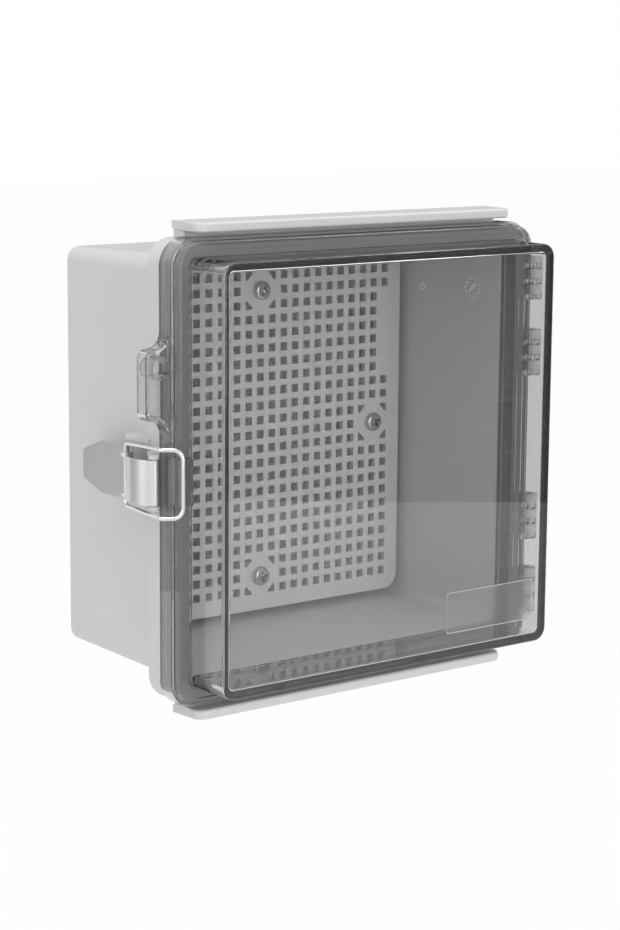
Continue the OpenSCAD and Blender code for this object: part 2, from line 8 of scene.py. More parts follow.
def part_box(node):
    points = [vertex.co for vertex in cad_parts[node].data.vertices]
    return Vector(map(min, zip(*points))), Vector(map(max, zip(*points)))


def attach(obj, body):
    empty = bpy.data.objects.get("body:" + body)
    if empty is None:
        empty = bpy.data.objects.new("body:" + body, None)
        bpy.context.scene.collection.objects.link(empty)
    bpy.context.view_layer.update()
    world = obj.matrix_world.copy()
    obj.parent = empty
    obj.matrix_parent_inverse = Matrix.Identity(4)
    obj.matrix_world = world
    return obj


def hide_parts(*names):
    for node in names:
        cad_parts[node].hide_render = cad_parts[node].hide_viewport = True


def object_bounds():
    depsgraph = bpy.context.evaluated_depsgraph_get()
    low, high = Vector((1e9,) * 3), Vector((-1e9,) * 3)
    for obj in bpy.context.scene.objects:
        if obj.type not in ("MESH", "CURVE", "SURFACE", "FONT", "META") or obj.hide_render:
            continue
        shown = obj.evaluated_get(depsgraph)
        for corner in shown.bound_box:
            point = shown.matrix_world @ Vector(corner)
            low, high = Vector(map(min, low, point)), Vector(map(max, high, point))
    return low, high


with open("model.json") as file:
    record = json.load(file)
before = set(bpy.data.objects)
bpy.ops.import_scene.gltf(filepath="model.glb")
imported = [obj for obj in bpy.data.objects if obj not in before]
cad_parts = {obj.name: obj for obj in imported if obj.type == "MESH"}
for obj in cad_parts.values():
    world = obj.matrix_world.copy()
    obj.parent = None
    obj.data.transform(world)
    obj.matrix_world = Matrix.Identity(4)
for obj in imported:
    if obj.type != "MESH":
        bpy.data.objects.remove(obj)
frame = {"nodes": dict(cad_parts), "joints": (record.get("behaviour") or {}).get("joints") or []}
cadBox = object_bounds()
mm = 0.001
print("frame loaded")

# the door's box gives the places that the pieces share
windowRise, rimThick = 23 * mm, 14 * mm
doorLow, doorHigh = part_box("door")
doorHalf = doorHigh.z                # half the door's width and height
windowFace = -doorLow.y              # depth of the window's face from the wall
flangeFace = windowFace - windowRise
seamDepth = flangeFace - rimThick    # where the door meets the body
hair = 0.05 * mm                     # closer than this counts as the same place
sharpAngle = 1.0                     # radians, sharper edges are rounded


# colours are written as sRGB hex
def hexColor(text):
    parts = [int(text[i:i + 2], 16) / 255 for i in (1, 3, 5)]
    return [c / 12.92 if c <= 0.04045 else ((c + 0.055) / 1.055) ** 2.4 for c in parts] + [1.0]


# adds one node with its settings, and links {input: (node, output)}
def addNode(tree, kind, settings=None, links=None):
    node = tree.nodes.new(kind)
    for name, value in (settings or {}).items():
        if isinstance(name, int) or name in node.inputs:
            node.inputs[name].default_value = value
        else:
            setattr(node, name, value)
    for name, (source, output) in (links or {}).items():
        tree.links.new(source.outputs[output], node.inputs[name])
    return node


def newMaterial(name):
    material = bpy.data.materials.new(name)
    material.use_nodes = True
    material.node_tree.nodes.clear()
    return material, material.node_tree


# moulded ABS with a spark-eroded skin: satin, even, a faint mottle where the light grazes it
bodyLook = {"colour": "#d6d6d6", "shade": "#d0d0d0", "roughness": 0.42, "grainMm": 0.9, "mottleMm": 35,
            "bump": 0.06}
# the marks are drawn near-white, lighter than the plastic they are moulded in: painted highlight, on top of
# the real light their raised faces catch
paintedHighlightLook = {"colour": "#fbfbfb", "shade": "#f4f4f5", "roughness": 0.3, "grainMm": 0.9, "mottleMm": 35,
            "bump": 0.02}
panelLook = {"colour": "#d2d2d2", "shade": "#cccccc", "roughness": 0.5, "grainMm": 0.8, "mottleMm": 30,
             "bump": 0.05}
gritLook = {"deepMm": 0.1, "smoother": 0.04, "rougher": 0.06, "ior": 1.53}


def mouldedPlastic(name, look):
    material, tree = newMaterial(name)
    place = addNode(tree, "ShaderNodeTexCoord")
    mottle = addNode(tree, "ShaderNodeTexNoise", {"Scale": 1000 / look["mottleMm"], "Detail": 3.0},
                     {"Vector": (place, "Object")})
    tone = addNode(tree, "ShaderNodeMix",
                   {"data_type": "RGBA", 6: hexColor(look["shade"]), 7: hexColor(look["colour"])},
                   {"Factor": (mottle, "Fac")})
    # grit of a spark-eroded mould is near 0.05 mm, drawn coarser so that it shows
    grit = addNode(tree, "ShaderNodeTexNoise", {"Scale": 1000 / look["grainMm"], "Detail": 2.0},
                   {"Vector": (place, "Object")})
    bump = addNode(tree, "ShaderNodeBump", {"Strength": look["bump"], "Distance": gritLook["deepMm"] * mm},
                   {"Height": (grit, "Fac")})
    rough = addNode(tree, "ShaderNodeMapRange",
                    {"To Min": look["roughness"] - gritLook["smoother"],
                     "To Max": look["roughness"] + gritLook["rougher"]},
                    {"Value": (grit, "Fac")})
    skin = addNode(tree, "ShaderNodeBsdfPrincipled", {"IOR": gritLook["ior"]},
                   {"Base Color": (tone, 2), "Roughness": (rough, "Result"), "Normal": (bump, "Normal")})
    addNode(tree, "ShaderNodeOutputMaterial", None, {"Surface": (skin, "BSDF")})
    return material


# smoke-tinted polycarbonate from a polished tool: clear face on, dark along its walls
doorLook = {"roughness": 0.012, "ior": 1.585, "skin": "#f5f5f5", "tint": "#8a8b8b",
            "density": 64.0, "shadow": "#f8f8f8"}
# the same sheet with a fine matt etch, where a label goes
fieldLook = {"roughness": 0.16, "ior": 1.585, "skin": "#fafafa", "tint": "#8a8b8b",
             "density": 64.0, "shadow": "#fefefe"}


def clearPolycarbonate(name, look):
    material, tree = newMaterial(name)
    path = addNode(tree, "ShaderNodeLightPath")
    glass = addNode(tree, "ShaderNodeBsdfPrincipled", {
        "Base Color": hexColor(look["skin"]), "Roughness": look["roughness"], "IOR": look["ior"],
        "Transmission Weight": 1.0})
    through = addNode(tree, "ShaderNodeBsdfTransparent", {"Color": hexColor(look["shadow"])})
    mixed = addNode(tree, "ShaderNodeMixShader", None,
                    {0: (path, "Is Shadow Ray"), 1: (glass, "BSDF"), 2: (through, "BSDF")})
    smoke = addNode(tree, "ShaderNodeVolumeAbsorption",
                    {"Color": hexColor(look["tint"]), "Density": look["density"]})
    addNode(tree, "ShaderNodeOutputMaterial", None,
            {"Surface": (mixed, "Shader"), "Volume": (smoke, "Volume")})
    return material


# zinc-plated or stainless steel: grey metal with fine drawing marks
leverLook = {"colour": "#d2d3d4", "shade": "#c6c8ca", "roughness": 0.3, "lineMm": 0.5,
             "stretch": (1, 0.05, 1), "bump": 0.05}
wireLook = {"colour": "#dcdedf", "shade": "#d2d4d6", "roughness": 0.12, "lineMm": 0.8,
            "stretch": (1, 1, 0.1), "bump": 0.02}
screwLook = {"colour": "#e6e6e6", "shade": "#b0b0b0", "roughness": 0.09, "lineMm": 0.9,
             "stretch": (1, 1, 1), "bump": 0.07}
drawLook = {"deepMm": 0.05, "smoother": 0.05, "rougher": 0.08}


def drawnSteel(name, look):
    material, tree = newMaterial(name)
    place = addNode(tree, "ShaderNodeTexCoord")
    stretch = addNode(tree, "ShaderNodeMapping", {"Scale": look["stretch"]}, {"Vector": (place, "Object")})
    lines = addNode(tree, "ShaderNodeTexNoise", {"Scale": 1000 / look["lineMm"], "Detail": 4.0},
                    {"Vector": (stretch, "Vector")})
    rough = addNode(tree, "ShaderNodeMapRange",
                    {"To Min": look["roughness"] - drawLook["smoother"],
                     "To Max": look["roughness"] + drawLook["rougher"]},
                    {"Value": (lines, "Fac")})
    bump = addNode(tree, "ShaderNodeBump", {"Strength": look["bump"], "Distance": drawLook["deepMm"] * mm},
                   {"Height": (lines, "Fac")})
    tone = addNode(tree, "ShaderNodeMix",
                   {"data_type": "RGBA", 6: hexColor(look["shade"]), 7: hexColor(look["colour"])},
                   {"Factor": (lines, "Fac")})
    metal = addNode(tree, "ShaderNodeBsdfPrincipled", {"Metallic": 1.0},
                    {"Base Color": (tone, 2), "Roughness": (rough, "Result"), "Normal": (bump, "Normal")})
    addNode(tree, "ShaderNodeOutputMaterial", None, {"Surface": (metal, "BSDF")})
    return material


# closed-cell foam seal: mid grey, dull
gasketLook = {"colour": "#969696", "shade": "#8a8a8a", "roughness": 0.85, "cellMm": 0.6,
              "bump": 0.2, "deepMm": 0.1}


def sealFoam(name, look):
    material, tree = newMaterial(name)
    place = addNode(tree, "ShaderNodeTexCoord")
    cells = addNode(tree, "ShaderNodeTexVoronoi", {"Scale": 1000 / look["cellMm"]},
                    {"Vector": (place, "Object")})
    tone = addNode(tree, "ShaderNodeMix",
                   {"data_type": "RGBA", 6: hexColor(look["shade"]), 7: hexColor(look["colour"])},
                   {"Factor": (cells, "Distance")})
    bump = addNode(tree, "ShaderNodeBump", {"Strength": look["bump"], "Distance": look["deepMm"] * mm},
                   {"Height": (cells, "Distance")})
    foam = addNode(tree, "ShaderNodeBsdfPrincipled", {"Roughness": look["roughness"]},
                   {"Base Color": (tone, 2), "Normal": (bump, "Normal")})
    addNode(tree, "ShaderNodeOutputMaterial", None, {"Surface": (foam, "BSDF")})
    return material


bodyAbs = mouldedPlastic("bodyAbs", bodyLook)
paintedHighlightAbs = mouldedPlastic("paintedHighlightAbs", paintedHighlightLook)
panelAbs = mouldedPlastic("panelAbs", panelLook)
doorClear = clearPolycarbonate("doorClear", doorLook)
fieldClear = clearPolycarbonate("fieldClear", fieldLook)
leverSteel = drawnSteel("leverSteel", leverLook)
wireSteel = drawnSteel("wireSteel", wireLook)
screwSteel = drawnSteel("screwSteel", screwLook)
gasketFoam = sealFoam("gasketFoam", gasketLook)
print("materials made")


# nothing picked, so that an operator only meets what is picked next
def clearPick():
    if bpy.context.mode != "OBJECT":
        bpy.ops.object.mode_set(mode="OBJECT")
    bpy.ops.object.select_all(action="DESELECT")


def onlyPick(piece):
    clearPick()
    piece.select_set(True)
    bpy.context.view_layer.objects.active = piece


# a block between two corners, with its place in its mesh
def addBlock(name, low, high):
    clearPick()
    low, high = Vector(low), Vector(high)
    bpy.ops.mesh.primitive_cube_add(size=1, location=(low + high) / 2)
    block = bpy.context.object
    block.name = name
    block.scale = high - low
    bpy.ops.object.transform_apply(location=True, rotation=True, scale=True)
    return block


# a round bar through a place, along x, y or z
def addBar(name, place, along, radius, length, steps=32):
    turns = {"x": (0, math.pi / 2, 0), "y": (math.pi / 2, 0, 0), "z": (0, 0, 0)}
    clearPick()
    bpy.ops.mesh.primitive_cylinder_add(vertices=steps, radius=radius, depth=length, location=place,
                                        rotation=turns[along])
    bar = bpy.context.object
    bar.name = name
    bpy.ops.object.transform_apply(location=True, rotation=True, scale=True)
    return bar


def startEdit(piece):
    onlyPick(piece)
    bpy.ops.object.mode_set(mode="EDIT")


def endEdit():
    bpy.ops.object.mode_set(mode="OBJECT")


# in edit mode, picks the faces, edges or points that pass a test
def pickParts(piece, kind, test):
    bpy.ops.mesh.select_mode(type=kind)
    bpy.ops.mesh.select_all(action="DESELECT")
    mesh = bmesh.from_edit_mesh(piece.data)
    mesh.normal_update()
    for part in {"VERT": mesh.verts, "EDGE": mesh.edges, "FACE": mesh.faces}[kind]:
        if test(part):
            part.select_set(True)
    mesh.select_flush_mode()
    bmesh.update_edit_mesh(piece.data)


def middleOf(part):
    return sum((v.co for v in part.verts), Vector()) / len(part.verts)


def roundEdges(width, steps):
    bpy.ops.mesh.bevel(offset=width, segments=steps, profile=0.5, affect="EDGES")


def extrudeBy(x=0.0, y=0.0, z=0.0):
    bpy.ops.mesh.extrude_region_move(TRANSFORM_OT_translate={"value": (x, y, z)})


# adds or cuts one solid with another, which is used up
def mergeSolid(piece, tool, operation):
    onlyPick(piece)
    step = piece.modifiers.new("solid", "BOOLEAN")
    step.operation = operation
    step.solver = "MANIFOLD"
    step.object = tool
    bpy.ops.object.modifier_apply(modifier=step.name)
    bpy.data.objects.remove(tool)


# soft shading over small angles, with the flat faces kept flat
def smoothFaces(piece, angle=32):
    onlyPick(piece)
    bpy.ops.object.shade_smooth_by_angle(angle=math.radians(angle))
    step = piece.modifiers.new("flatFaces", "WEIGHTED_NORMAL")
    step.keep_sharp = True
    step.weight = 100
    bpy.ops.object.modifier_apply(modifier=step.name)


# a piece drawn lying on its back is stood up against the wall
def standUp(piece):
    onlyPick(piece)
    piece.rotation_euler = (math.pi / 2, 0, 0)
    bpy.ops.object.transform_apply(location=True, rotation=True, scale=True)


def finishPiece(piece, material, body, nodes=()):
    piece.data.materials.clear()
    piece.data.materials.append(material)
    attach(piece, body)
    if nodes:
        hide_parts(*nodes)


# the door is drawn lying on its back: x right, y up the wall, z away from it. Sizes in mm
doorShape = {
    "corner": 12.6, "cornerSteps": 14, "foot": 0.4, "ledge": 9.3, "ledgeIn": 1.6, "marginIn": 3.6,
    "marginSink": 1.0, "windowIn": 3.2, "windowDraft": 0.3, "windowRoot": 1.35, "wall": 3.6,
    "grooveWall": 3.0, "grooveWide": 5.4, "grooveRoof": 4.05, "lipFoot": 2.0, "ledgeEdge": 0.5,
    "ledgeFillet": 0.8, "flangeEdge": 0.9, "marginEdge": 0.5, "edgeSteps": 4, "windowCorner": 6.5,
    "windowSteps": 12, "windowEdge": 1.2, "hollowEdge": 0.9, "hollowOver": 2.0,
}


# a square block with round corners that narrows a little to its front
def addDrafted(name, half, back, front, corner, shape, edge):
    block = addBlock(name, (-half, -half, back), (half, half, front))
    startEdit(block)
    pickParts(block, "EDGE", lambda part: abs(part.verts[0].co.z - part.verts[1].co.z) > 1 * mm)
    roundEdges(corner, shape["windowSteps"])
    pickParts(block, "FACE", lambda face: face.normal.z > 0.9)
    narrow = 1 - shape["windowDraft"] * mm / half
    bpy.ops.transform.resize(value=(narrow, narrow, 1), center_override=(0, 0, front))
    pickParts(block, "EDGE", lambda part: all(v.co.z > front - hair for v in part.verts))
    roundEdges(edge, shape["edgeSteps"])
    endEdit()
    return block


def makeDoorShell(shape):
    size = {key: value * mm for key, value in shape.items()}
    foot, ledge = seamDepth + size["foot"], seamDepth + size["ledge"]
    groove, margin = flangeFace - size["grooveRoof"], flangeFace - size["marginSink"]
    ceiling = windowFace - size["wall"]
    centre = doorHalf - size["corner"]
    door = addBlock("clearDoor", (-doorHalf, -doorHalf, foot), (doorHalf, doorHalf, ledge))
    startEdit(door)

    # rings of the door are told apart by their height and their distance from the corner centres
    def ring(height, reach):
        def test(edge):
            return all(
                abs(v.co.z - height) < hair and abs(math.hypot(
                    max(abs(v.co.x) - centre, 0), max(abs(v.co.y) - centre, 0)) - reach) < 3 * hair
                for v in edge.verts)
        return test

    def roundRing(height, reach, width):
        pickParts(door, "EDGE", ring(height, reach))
        roundEdges(width, shape["edgeSteps"])

    pickParts(door, "EDGE", lambda edge: abs(edge.verts[0].co.z - edge.verts[1].co.z) > 1 * mm)
    roundEdges(size["corner"], shape["cornerSteps"])

    # front: two tiers and a sunk margin
    pickParts(door, "FACE", lambda face: face.normal.z > 0.9)
    bpy.ops.mesh.inset(thickness=size["ledgeIn"])
    extrudeBy(z=flangeFace - ledge)
    bpy.ops.mesh.inset(thickness=size["marginIn"])
    extrudeBy(z=margin - flangeFace)

    # back: the gasket's groove and the inner lip
    pickParts(door, "FACE", lambda face: face.normal.z < -0.9)
    bpy.ops.mesh.inset(thickness=size["grooveWall"])
    extrudeBy(z=groove - foot)
    bpy.ops.mesh.inset(thickness=size["grooveWide"])
    extrudeBy(z=seamDepth + size["lipFoot"] - groove)

    roundRing(ledge, size["corner"], size["ledgeEdge"])
    roundRing(ledge, size["corner"] - size["ledgeIn"], size["ledgeFillet"])
    roundRing(flangeFace, size["corner"] - size["ledgeIn"], size["flangeEdge"])
    roundRing(flangeFace, size["corner"] - size["ledgeIn"] - size["marginIn"], size["marginEdge"])
    endEdit()

    # the raised window is a box of its own, hollow from the back
    windowHalf = doorHalf - size["ledgeIn"] - size["marginIn"] - size["windowIn"]
    hollowHalf, hollowCorner = windowHalf - size["wall"], size["windowCorner"] - size["wall"]
    window = addDrafted("window", windowHalf, margin - size["windowRoot"], windowFace, size["windowCorner"],
                        shape, size["windowEdge"])
    mergeSolid(door, window, "UNION")
    hollow = addDrafted("hollow", hollowHalf, foot - size["hollowOver"], ceiling, hollowCorner,
                        shape, size["hollowEdge"])
    mergeSolid(door, hollow, "DIFFERENCE")
    return door


# padlock ear on the door's left edge: a shell open at the back, with a swept root and a ring round its hole
earShape = {"middle": 41.0, "tip": 31.0, "reach": 11.6, "thick": 7.6, "root": 7.4, "rootIn": 1.4,
            "sink": 0.1, "corner": 4.0, "sweepSteps": 8, "edge": 0.8, "edgeSteps": 4, "wall": 2.0,
            "hollowIn": 0.4, "hollowOver": 1.0, "hollowSteps": 5, "flareFrom": 0.6, "flare": 1.6,
            "holeRadius": 4.0, "holeOut": 3.6, "holeRise": 7.3, "holeLong": 30.0, "holeSteps": 40,
            "ring": 1.2, "ringSteps": 48, "foot": 0.4}


def makeDoorEar(shape):
    size = {key: value * mm for key, value in shape.items()}
    side = -doorHalf + size["sink"]
    tip = -doorHalf - size["reach"]
    low, high = size["middle"] - size["tip"] / 2, size["middle"] + size["tip"] / 2
    back, front = seamDepth + size["foot"], seamDepth + size["thick"]
    ear = addBlock("ear", (side, low - size["root"], back),
                   (side + size["rootIn"], high + size["root"], front))
    startEdit(ear)
    for height in (low, high):
        bpy.ops.mesh.select_all(action="SELECT")
        bpy.ops.mesh.bisect(plane_co=(0, height, 0), plane_no=(0, 1, 0))
    pickParts(ear, "FACE", lambda face: face.normal.x < -0.9 and low < middleOf(face).y < high)
    extrudeBy(x=tip - side)

    def upright(x):
        def test(edge):
            a, b = (v.co for v in edge.verts)
            onLine = max(abs(a.x - x), abs(b.x - x)) < hair < abs(a.z - b.z)
            return onLine and low - hair < a.y < high + hair
        return test

    pickParts(ear, "EDGE", upright(side))
    roundEdges(size["root"] - hair, shape["sweepSteps"])
    pickParts(ear, "EDGE", upright(tip))
    roundEdges(size["corner"], shape["sweepSteps"])
    endEdit()

    # the hollow widens to its root as the outside does
    wall = size["wall"]
    hollow = addBlock("hollow", (tip + wall, low + wall, back - size["hollowOver"]),
                      (-doorHalf + size["hollowIn"], high - wall, front - wall))
    startEdit(hollow)
    bpy.ops.mesh.select_all(action="SELECT")
    bpy.ops.mesh.bisect(plane_co=(-doorHalf - size["root"] * shape["flareFrom"], 0, 0), plane_no=(1, 0, 0))
    pickParts(hollow, "FACE", lambda face: face.normal.x > 0.9)
    widen = 1 + 2 * (size["flare"] + wall) / (high - low - 2 * wall)
    bpy.ops.transform.resize(value=(1, widen, 1), center_override=(0, size["middle"], 0))
    pickParts(hollow, "EDGE", lambda edge: abs(middleOf(edge).x - tip - wall) < hair
              and abs(edge.verts[0].co.z - edge.verts[1].co.z) > 1 * mm)
    roundEdges(size["corner"] - wall, shape["hollowSteps"])
    endEdit()
    mergeSolid(ear, hollow, "DIFFERENCE")
    eye = (-doorHalf - size["holeOut"], size["middle"] + size["holeRise"])
    ring = addBar("ring", (*eye, (back + front - wall / 2) / 2), "z", size["holeRadius"] + size["ring"],
                  front - wall / 2 - back, shape["ringSteps"])
    mergeSolid(ear, ring, "UNION")
    hole = addBar("hole", (*eye, front), "z", size["holeRadius"], size["holeLong"],
                  shape["holeSteps"])
    mergeSolid(ear, hole, "DIFFERENCE")
    startEdit(ear)
    pickParts(ear, "EDGE", lambda edge: all(abs(v.co.z - front) < 0.02 * mm for v in edge.verts)
              and all(v.co.x < side - 0.02 * mm for v in edge.verts)
              and len(edge.link_faces) == 2
              and abs(edge.link_faces[0].normal.z - edge.link_faces[1].normal.z) > 0.5)
    roundEdges(size["edge"], shape["edgeSteps"])
    endEdit()
    return ear


# catch on the flange that the bail hooks over
catchShape = {"middle": -0.5, "long": 21.0, "wide": 5.2, "tall": 5.2, "edge": 0.9, "edgeSteps": 4,
              "stem": 2.9, "foot": 5.0, "shelf": 2.0}


def makeCatch(shape):
    size = {key: value * mm for key, value in shape.items()}
    side = -doorHalf + hair
    low, high = size["middle"] - size["long"] / 2, size["middle"] + size["long"] / 2
    top, shelf = flangeFace + size["tall"], flangeFace - size["shelf"]
    catch = addBlock("catch", (side, low, flangeFace - size["foot"]), (side + size["stem"], high, top))
    startEdit(catch)
    bpy.ops.mesh.select_all(action="SELECT")
    bpy.ops.mesh.bisect(plane_co=(0, 0, shelf), plane_no=(0, 0, 1))
    pickParts(catch, "FACE", lambda face: face.normal.x > 0.9 and middleOf(face).z > shelf)
    extrudeBy(x=size["wide"] - size["stem"])
    pickParts(catch, "EDGE", lambda edge: middleOf(edge).z > shelf + 10 * hair
              and edge.calc_face_angle(0) > sharpAngle)
    roundEdges(size["edge"], shape["edgeSteps"])
    endEdit()
    return catch


# the door's twelve knuckles, three to a group, and the bores for the four pins
hingeShape = {"out": 6.0, "forward": 7.0, "radius": 4.4, "bore": 1.56, "boreOver": 2.0, "doorLeaf": 2.4,
              "bodyLeaf": 4.4, "gap": 0.3, "arm": 3.2, "armFrom": 0.72, "pairs": 3, "end": 26.7,
              "step": 36.9}


def hingeGroups(shape):
    far = doorHalf - shape["end"] * mm
    near = far - shape["step"] * mm
    return far, near, -near, -far


def addKnuckles(door, shape):
    size = {key: value * mm for key, value in shape.items() if key != "pairs"}
    pitch = size["doorLeaf"] + size["bodyLeaf"] + 2 * size["gap"]
    groupHeight = shape["pairs"] * pitch - size["gap"]
    axisX, axisZ = doorHalf + size["out"], seamDepth + size["forward"]
    for group in hingeGroups(shape):
        for number in range(shape["pairs"]):
            top = group + groupHeight / 2 - size["bodyLeaf"] - size["gap"] - number * pitch
            place = (axisX, top - size["doorLeaf"] / 2, axisZ)
            leaf = addBar("leaf", place, "y", size["radius"], size["doorLeaf"])
            startEdit(leaf)
            pickParts(leaf, "FACE", lambda face: face.normal.x < -shape["armFrom"])
            extrudeBy(x=-size["arm"])
            endEdit()
            mergeSolid(door, leaf, "UNION")
        bore = addBar("bore", (axisX, group, axisZ), "y", size["bore"], groupHeight + size["boreOver"])
        mergeSolid(door, bore, "DIFFERENCE")


clearDoor = makeDoorShell(doorShape)
mergeSolid(clearDoor, makeDoorEar(earShape), "UNION")
mergeSolid(clearDoor, makeCatch(catchShape), "UNION")
addKnuckles(clearDoor, hingeShape)
standUp(clearDoor)
smoothFaces(clearDoor)
finishPiece(clearDoor, doorClear, "door", ["door"])
print("door modelled:", len(clearDoor.data.polygons), "faces")


# a copy of a CAD node with its edges rounded, as a mould leaves them
roundShape = {
    "enclosure_body": {"name": "bodyShell", "edge": 0.45, "steps": 2, "material": bodyAbs,
                       "slot": "body_plastic", "limit": "WEIGHT"},
    "mounting_panel": {"name": "panelPlate", "edge": 0.25, "steps": 1, "material": panelAbs,
                       "slot": "panel_plastic", "limit": "ANGLE"},
}
softAngle, flatAngle, smoothAngle = math.radians(40), math.radians(0.4), 28
samePoint = 0.004 * mm
hingeSide = 102.9 * mm    # just inside the rim's outer face on the hinge side
# the drip lips are rounded more than the rest, and swell towards the door
lipShape = {"gap": 3.0, "swell": 1.1, "edge": 1.2, "steps": 5, "slack": 0.1, "behind": 0.5, "faceBand": 0.3}
# bare rings on the panel round its screws
padShape = {"outer": 9.2, "inner": 7.0, "cutLong": 10.0, "steps": 64}


def shapeLips(piece, shape):
    foot = doorHalf + (shape["gap"] - shape["slack"]) * mm
    ahead = -seamDepth + shape["behind"] * mm
    band = foot + shape["faceBand"] * mm

    def onLip(vert):
        return abs(vert.co.z) > foot and vert.co.y < ahead

    for side in (1, -1):
        pickParts(piece, "VERT", lambda vert: onLip(vert) and 0 < vert.co.z * side < band)
        bpy.ops.transform.translate(value=(0, 0, -side * shape["swell"] * mm))
    foot -= shape["swell"] * mm
    pickParts(piece, "EDGE", lambda edge: all(onLip(vert) for vert in edge.verts)
              and edge.calc_face_angle(0) > sharpAngle
              and abs(edge.verts[0].co.z - edge.verts[1].co.z) < 2 * hair)
    roundEdges(shape["edge"] * mm, shape["steps"])


# what the rounding pushed past the lips' outer faces is pressed back onto them
def pressLips(piece):
    startEdit(piece)
    for side in (1, -1):
        top = side * cadBox[1][2]
        pickParts(piece, "VERT", lambda vert: vert.co.z * side > abs(top))
        bpy.ops.transform.resize(value=(1, 1, 0), center_override=(0, 0, top))
    endEdit()


def addPads(piece, shape):
    back, front = (corner.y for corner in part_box("mounting_panel"))
    for side in ("top", "right", "bottom", "left"):
        low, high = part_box("panel_screw_" + side)
        place = ((low.x + high.x) / 2, (back + front) / 2, (low.z + high.z) / 2)
        pad = addBar("pad", place, "y", shape["outer"] * mm, front - back, shape["steps"])
        middle = addBar("middle", place, "y", shape["inner"] * mm, shape["cutLong"] * mm, shape["steps"])
        mergeSolid(pad, middle, "DIFFERENCE")
        mergeSolid(piece, pad, "UNION")


def makeRounded(node, shape):
    piece = bpy.data.objects.new(shape["name"], frame["nodes"][node].data.copy())
    bpy.context.collection.objects.link(piece)
    startEdit(piece)
    bpy.ops.mesh.select_all(action="SELECT")
    bpy.ops.mesh.remove_doubles(threshold=samePoint)
    endEdit()
    if node == "mounting_panel":
        addPads(piece, padShape)
    startEdit(piece)
    bpy.ops.mesh.select_all(action="SELECT")
    bpy.ops.mesh.dissolve_limited(angle_limit=flatAngle)
    if node == "enclosure_body":
        shapeLips(piece, lipShape)
        # the hinge arms stand a hair behind the rim's front edge, so that side keeps its edges
        pickParts(piece, "EDGE", lambda edge: edge.calc_face_angle(0) > softAngle
                  and min(vert.co.x for vert in edge.verts) < hingeSide)
        bpy.ops.transform.edge_bevelweight(value=1)
    endEdit()
    step = piece.modifiers.new("softEdges", "BEVEL")
    step.width = shape["edge"] * mm
    step.segments = shape["steps"]
    step.limit_method = shape["limit"]
    step.angle_limit = softAngle
    step.use_clamp_overlap = True
    bpy.ops.object.modifier_apply(modifier=step.name)
    if node == "enclosure_body":
        pressLips(piece)
    smoothFaces(piece, smoothAngle)
    finishPiece(piece, shape["material"], "enclosure", [node])
    print(shape["name"], "rounded:", len(piece.data.polygons), "faces")


for node, shape in roundShape.items():
    makeRounded(node, shape)


# pan-head screw: domed head, cross recess with sloping sides, plain shank
screwShape = {"headRadius": 4.7, "headTall": 2.8, "dome": 1.7, "domeSteps": 7, "steps": 48,
              "shankRadius": 2.0, "shankLong": 14.0, "shankTaper": 0.8, "slotLong": 5.6, "slotWide": 1.3,
              "slotDeep": 1.7, "slotTaper": 0.7, "slotOver": 1.0,
              "turns": {"top": 24, "right": 58, "bottom": 81, "left": 37}}


def makeScrew(side, turn, shape):
    size = {key: value * mm for key, value in shape.items() if key != "turns"}
    low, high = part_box("panel_screw_" + side)
    seat = Vector(((low.x + high.x) / 2, low.y + size["headTall"], (low.z + high.z) / 2))
    screw = addBar("screw_" + side, (0, 0, size["headTall"] / 2), "z", size["headRadius"], size["headTall"],
                   shape["steps"])
    startEdit(screw)
    pickParts(screw, "EDGE", lambda edge: all(v.co.z > size["headTall"] - hair for v in edge.verts))
    bpy.ops.mesh.bevel(offset=size["dome"], segments=shape["domeSteps"], profile=0.5, affect="EDGES",
                       clamp_overlap=True)
    pickParts(screw, "FACE", lambda face: face.normal.z < -0.9)
    bpy.ops.mesh.inset(thickness=size["headRadius"] - size["shankRadius"])
    extrudeBy(z=-size["shankLong"])
    taper = shape["shankTaper"]
    bpy.ops.transform.resize(value=(taper, taper, 1), center_override=(0, 0, -size["shankLong"]))
    endEdit()
    for long, wide in ((size["slotLong"], size["slotWide"]), (size["slotWide"], size["slotLong"])):
        floor, top = size["headTall"] - size["slotDeep"], size["headTall"] + size["slotOver"]
        slot = addBlock("slot", (-long / 2, -wide / 2, floor), (long / 2, wide / 2, top))
        startEdit(slot)
        pickParts(slot, "FACE", lambda face: face.normal.z < -0.9)
        narrow = shape["slotTaper"]
        bpy.ops.transform.resize(value=(narrow, narrow, 1), center_override=(0, 0, floor))
        endEdit()
        mergeSolid(screw, slot, "DIFFERENCE")
    onlyPick(screw)
    screw.rotation_euler = (math.pi / 2, math.radians(turn), 0)
    screw.location = seat
    bpy.ops.object.transform_apply(location=True, rotation=True, scale=True)
    smoothFaces(screw)
    finishPiece(screw, screwSteel, "enclosure", ["panel_screw_" + side])


for side, turn in screwShape["turns"].items():
    makeScrew(side, turn, screwShape)
print("screws modelled")


# the latch's own plane: out from the box is -x, back to the wall is +y, sizes in mm from the lever's pivot
leverJoint = next(j for j in frame["joints"] if j["name"] == "lever_pivot")
bailJoint = next(j for j in frame["joints"] if j["name"] == "bail_pivot")
leverPivot = Vector(leverJoint["pos_m"])
bailPivot = Vector(bailJoint["pos_m"])


# pressed stainless sheet: flat tab, crease, bow and a rolled end round the pin
leverShape = {"sheet": 1.2, "bowTall": 20.2, "tabTall": 24.0, "tabRise": 0.6, "tabEnd": 13.2,
              "tabCorner": 1.6, "cornerSteps": 4, "taper": 14.0, "tabLong": 35.0, "lean": 2.4,
              "creaseOut": -3.0, "creaseBack": 23.0, "creaseLong": 0.3, "rollRadius": 3.1, "rollLap": 0.15,
              "rollTurn": 280, "rollSteps": 26, "bowStart": 40, "bowSteps": 18, "lugRadius": 2.4,
              "lugThick": 2.0, "lugBore": 1.06, "edge": 0.2, "edgeSteps": 2, "edgeAngle": 50,
              "smoothAngle": 40}


def latchPlace(out, back, up=0.0):
    return leverPivot + Vector((-out, back, up)) * mm


